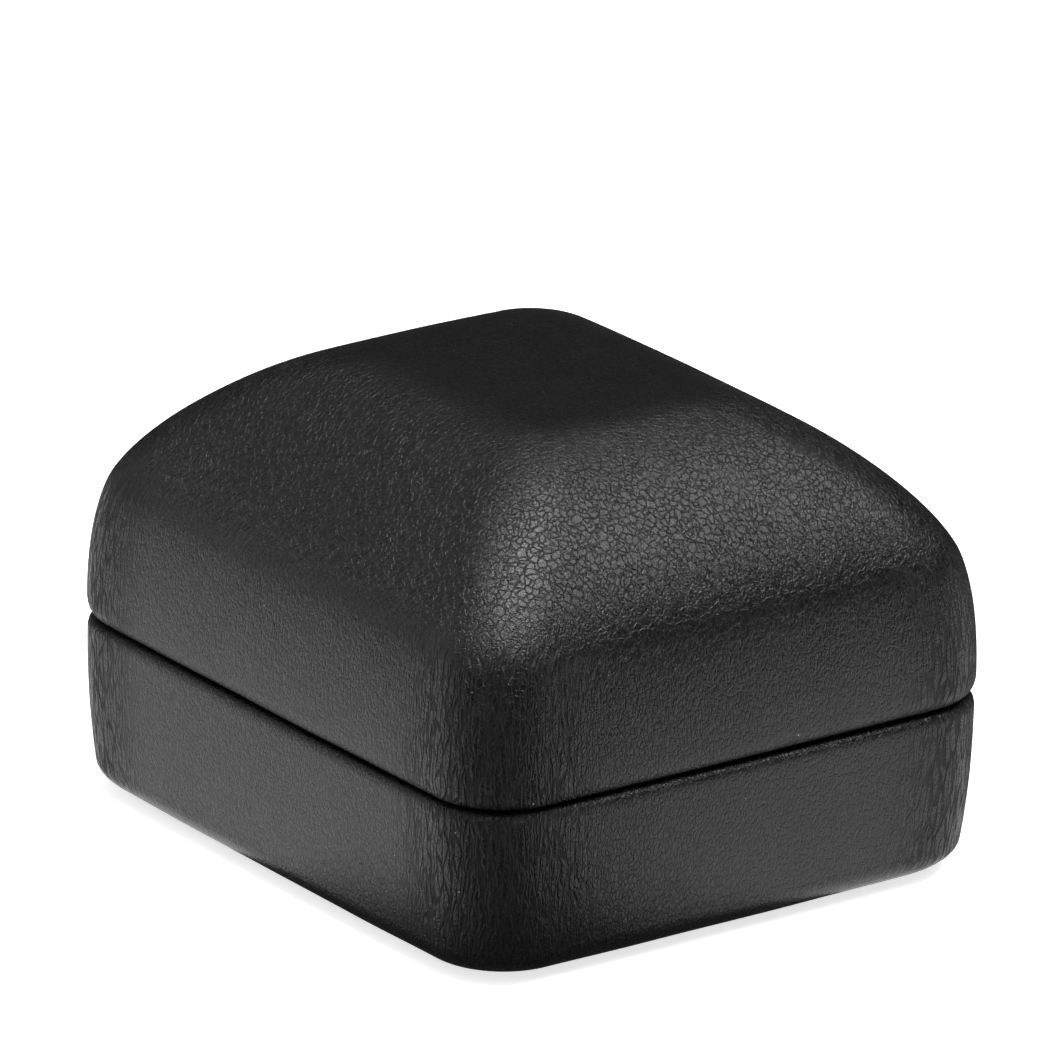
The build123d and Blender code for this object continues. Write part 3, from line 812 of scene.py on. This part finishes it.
def dressed(name, mesh, material, body, nodes):
    """A soft piece that stands for CAD nodes."""
    mesh.materials.clear()
    mesh.materials.append(MATERIALS[material])
    made = piece(name, mesh, body)
    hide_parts(*nodes)


platform = platform_mesh("velvet_platform")
settle(platform, depth=0.04 * MM, scale=4 * MM, seed=23.0)
dressed("velvet_platform", platform, "velvet", "base", ["insert_velvet"])
for end, side in (("front", -1), ("back", 1)):
    roll = roll_mesh("velvet_roll_" + end, f"roll_{end}_foam", side)
    dressed("velvet_roll_" + end, roll, "velvet", "base", [f"roll_{end}_velvet"])
dressed("satin_pad", pad_mesh("satin_pad"), "satin", "lid", ["lid_pad_satin", "lid_pad_foam"])


# --- floor, lights and camera ---------------------------------------------------------------------
# The floor's flat radius, the radius of its sweep up, and the height of its wall, in metres.
FLOOR_FLAT, FLOOR_BEND, FLOOR_WALL = 2.5, 0.5, 1.4
FLOOR_SIDES, FLOOR_STEPS = 96, 8
CAMERA_AZIMUTH = -36.53
CAMERA_ELEVATION = 20.14
CAMERA_ROLL = 1.28
CAMERA_DISTANCE = 1.1364
CAMERA_LENS = 461.9
SENSOR = 36.0
AIM = Vector((0.0003, 0.0006, 0.0260))


def floor():
    """A pale round floor that sweeps up into a low wall far away, so that no side shows its edge."""
    bends = [math.radians(90 * i / FLOOR_STEPS) for i in range(FLOOR_STEPS + 1)]
    rings = [(FLOOR_FLAT + FLOOR_BEND * math.sin(b), FLOOR_BEND * (1 - math.cos(b))) for b in bends]
    rings.append((FLOOR_FLAT + FLOOR_BEND, FLOOR_WALL))
    turns = [2 * math.pi * k / FLOOR_SIDES for k in range(FLOOR_SIDES)]
    points = [(r * math.cos(t), r * math.sin(t), z) for r, z in rings for t in turns]
    faces = [tuple(range(FLOOR_SIDES))] + bands(len(rings), FLOOR_SIDES)
    mesh = bpy.data.meshes.new("floor")
    mesh.from_pydata(points, [], faces)
    s = Shader("pale_floor")
    tone = s.ramp(s.noise(s.place(), 3.0, 2.0), 0.2, 0.8, 0.86, 0.90)
    white = s.blend(tone, (0, 0, 0, 1), (1, 1, 1, 1))
    glow = {"Emission_Color": white, "Emission_Strength": 0.75}
    mesh.materials.append(s.finish(Base_Color=white, Roughness=0.9, **glow))
    ground = bpy.data.objects.new("floor", mesh)
    ground.visible_glossy = False
    bpy.context.scene.collection.objects.link(ground)


def sun(name, toward, angle, strength):
    """Soft light from a direction, even over the whole floor."""
    light = bpy.data.lights.new(name, "SUN")
    light.angle = math.radians(angle)
    light.energy = strength
    made = bpy.data.objects.new(name, light)
    made.rotation_euler = Vector(toward).to_track_quat("Z", "Y").to_euler()
    bpy.context.scene.collection.objects.link(made)


def panel(name, place, aim, size, power):
    """A soft rectangular panel light at a place, facing a point. It isn't seen itself."""
    light = bpy.data.lights.new(name, "AREA")
    light.shape = "RECTANGLE"
    light.size, light.size_y = size
    light.energy = power
    made = bpy.data.objects.new(name, light)
    made.location = place
    made.rotation_euler = (Vector(place) - Vector(aim)).to_track_quat("Z", "Y").to_euler()
    made.visible_camera = False
    bpy.context.scene.collection.objects.link(made)
    return made


def card(name, corner, heading, size, power):
    """A glowing card flat on the floor, facing up. Its first side leaves the corner at the heading."""
    along = Matrix.Rotation(math.radians(heading), 3, "Z")
    middle = Vector((corner[0], corner[1], 0.5 * MM)) + along @ Vector((size[0] / 2, size[1] / 2, 0.0))
    made = panel(name, middle, middle + Vector((0, 0, 1)), (abs(size[0]), abs(size[1])), power)
    made.rotation_euler = (math.pi, 0.0, math.radians(heading))


def camera():
    """A long lens aimed at the box from its front left, a little above it."""
    a = math.radians(CAMERA_AZIMUTH)
    e = math.radians(CAMERA_ELEVATION)
    r = math.radians(CAMERA_ROLL)
    back = Vector((math.sin(a) * math.cos(e), -math.cos(a) * math.cos(e), math.sin(e)))
    right = Vector((math.cos(a), math.sin(a), 0.0))
    up = back.cross(right)
    rolled_right = right * math.cos(r) + up * math.sin(r)
    rolled_up = up * math.cos(r) - right * math.sin(r)
    data = bpy.data.cameras.new("camera")
    data.lens = CAMERA_LENS
    data.sensor_width = SENSOR
    data.clip_start = 0.05
    data.clip_end = 60.0
    made = bpy.data.objects.new("camera", data)
    turn = Matrix((rolled_right, rolled_up, back)).transposed()
    made.matrix_world = Matrix.Translation(AIM + back * CAMERA_DISTANCE) @ turn.to_4x4()
    bpy.context.scene.collection.objects.link(made)
    bpy.context.scene.camera = made


def studio():
    """A dim even room, a broad fill from above, three soft panels, and a card at each near side."""
    world = bpy.data.worlds.new("room")
    world.use_nodes = True
    world.node_tree.nodes["Background"].inputs["Color"].default_value = (1, 1, 1, 1)
    world.node_tree.nodes["Background"].inputs["Strength"].default_value = 0.04
    bpy.context.scene.world = world
    bpy.context.scene.view_settings.view_transform = "Standard"
    sun("fill", (-0.15, 0.02, 0.98), 90, 1.2)
    panel("front_soft", (0.26, -0.17, 0.44), (0, -0.01, 0.03), (0.24, 0.19), 0.95)
    panel("top_soft", (0.00, -0.05, 0.47), (0, -0.01, 0.03), (0.24, 0.13), 1.60)
    panel("back_left", (-0.33, 0.52, 0.17), (0, 0, 0.03), (0.50, 0.30), 0.33)
    card("front_card", (-0.010, -0.034), -76, (0.22, 0.24), 0.185)
    card("left_card", (-0.034, -0.028), 166, (0.22, -0.21), 0.165)


floor()
studio()
camera()
